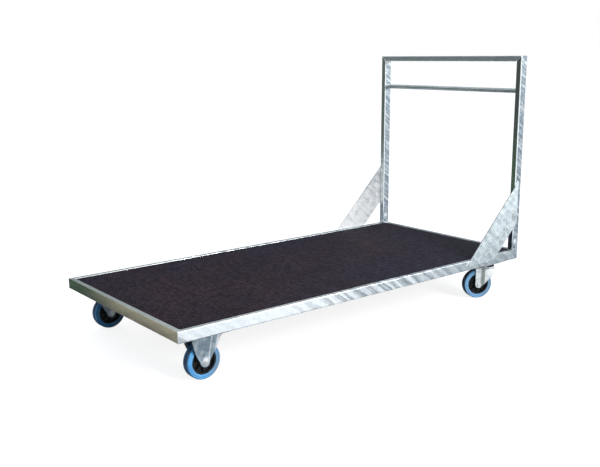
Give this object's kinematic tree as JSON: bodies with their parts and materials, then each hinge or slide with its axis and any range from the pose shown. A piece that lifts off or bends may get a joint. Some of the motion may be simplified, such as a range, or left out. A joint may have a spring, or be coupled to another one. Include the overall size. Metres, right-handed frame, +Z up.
{
  "type": "stage deck dolly",
  "caption": "Flatbed dolly for stage decks: flush deck board in a galvanised tube frame, tall push frame with grip bar and corner gussets at one end, fixed and swivel casters.",
  "frame": {"origin": "on the floor under the middle of the deck frame", "axes": "+X along the deck towards the push frame and the swivel casters, +Z up; -Y is the left side of a person who pushes at that end"},
  "size_m": [2.17, 1.05, 1.313],
  "materials": {
    "galvanised_steel": "hot-dip galvanised, spangled, semi-matt",
    "zinc_plated_steel": "blue zinc plated",
    "bearing_steel": "ground and oiled",
    "deck_board": "plywood with dark brown anti-slip film",
    "tyre_rubber": "light blue non-marking rubber",
    "wheel_core": "black moulded plastic",
    "seal_plastic": "black seal ring"
  },
  "bodies": {
    "frame": {"long_rail_left": "galvanised_steel", "upright_left": "galvanised_steel", "gusset_left": "galvanised_steel", "long_rail_right": "galvanised_steel", "upright_right": "galvanised_steel", "gusset_right": "galvanised_steel", "front_rail": "galvanised_steel", "rear_rail": "galvanised_steel", "top_bar": "galvanised_steel", "push_bar": "galvanised_steel", "cross_bearer_1": "galvanised_steel", "cross_bearer_2": "galvanised_steel", "cross_bearer_3": "galvanised_steel", "cross_bearer_4": "galvanised_steel", "cross_bearer_5": "galvanised_steel", "cross_bearer_6": "galvanised_steel", "deck_board": "deck_board", "deck_screws": "zinc_plated_steel", "caster_pad_front_left": "galvanised_steel", "fixed_bracket_front_left": "zinc_plated_steel", "axle_sleeve_front_left": "bearing_steel", "caster_pad_rear_left": "galvanised_steel", "swivel_plate_rear_left": "zinc_plated_steel", "swivel_seal_rear_left": "seal_plastic", "king_pin_rear_left": "zinc_plated_steel", "caster_pad_front_right": "galvanised_steel", "fixed_bracket_front_right": "zinc_plated_steel", "axle_sleeve_front_right": "bearing_steel", "caster_pad_rear_right": "galvanised_steel", "swivel_plate_rear_right": "zinc_plated_steel", "swivel_seal_rear_right": "seal_plastic", "king_pin_rear_right": "zinc_plated_steel", "axle_bolts_front": "zinc_plated_steel", "axle_nuts_front": "zinc_plated_steel", "caster_bolts": "zinc_plated_steel", "caster_washers": "zinc_plated_steel", "caster_nuts": "zinc_plated_steel"},
    "wheel_front_left": {"tyre_front_left": "tyre_rubber", "wheel_core_front_left": "wheel_core", "bearing_rollers_front_left": "bearing_steel"},
    "swivel_rear_left": {"swivel_fork_rear_left": "zinc_plated_steel", "swivel_balls_rear_left": "bearing_steel", "axle_bolt_rear_left": "zinc_plated_steel", "axle_nut_rear_left": "zinc_plated_steel", "axle_sleeve_rear_left": "bearing_steel"},
    "wheel_rear_left": {"tyre_rear_left": "tyre_rubber", "wheel_core_rear_left": "wheel_core", "bearing_rollers_rear_left": "bearing_steel"},
    "wheel_front_right": {"tyre_front_right": "tyre_rubber", "wheel_core_front_right": "wheel_core", "bearing_rollers_front_right": "bearing_steel"},
    "swivel_rear_right": {"swivel_fork_rear_right": "zinc_plated_steel", "swivel_balls_rear_right": "bearing_steel", "axle_bolt_rear_right": "zinc_plated_steel", "axle_nut_rear_right": "zinc_plated_steel", "axle_sleeve_rear_right": "bearing_steel"},
    "wheel_rear_right": {"tyre_rear_right": "tyre_rubber", "wheel_core_rear_right": "wheel_core", "bearing_rollers_rear_right": "bearing_steel"}
  },
  "joints": [
    {"name": "wheel_front_left_spin", "type": "hinge", "parent": "frame", "child": "wheel_front_left", "pos_m": [-0.925, -0.432, 0.08], "axis": [0, 1, 0], "continuous": true},
    {"name": "swivel_rear_left_turn", "type": "hinge", "parent": "frame", "child": "swivel_rear_left", "pos_m": [0.925, -0.432, 0.175], "axis": [0, 0, 1], "continuous": true},
    {"name": "wheel_rear_left_spin", "type": "hinge", "parent": "swivel_rear_left", "child": "wheel_rear_left", "pos_m": [0.88006, -0.41008, 0.08], "axis": [0.4384, 0.8988, 0], "continuous": true},
    {"name": "wheel_front_right_spin", "type": "hinge", "parent": "frame", "child": "wheel_front_right", "pos_m": [-0.925, 0.432, 0.08], "axis": [0, 1, 0], "continuous": true},
    {"name": "swivel_rear_right_turn", "type": "hinge", "parent": "frame", "child": "swivel_rear_right", "pos_m": [0.925, 0.432, 0.175], "axis": [0, 0, 1], "continuous": true},
    {"name": "wheel_rear_right_spin", "type": "hinge", "parent": "swivel_rear_right", "child": "wheel_rear_right", "pos_m": [0.87801, 0.4491, 0.08], "axis": [0.342, 0.9397, 0], "continuous": true}
  ]
}
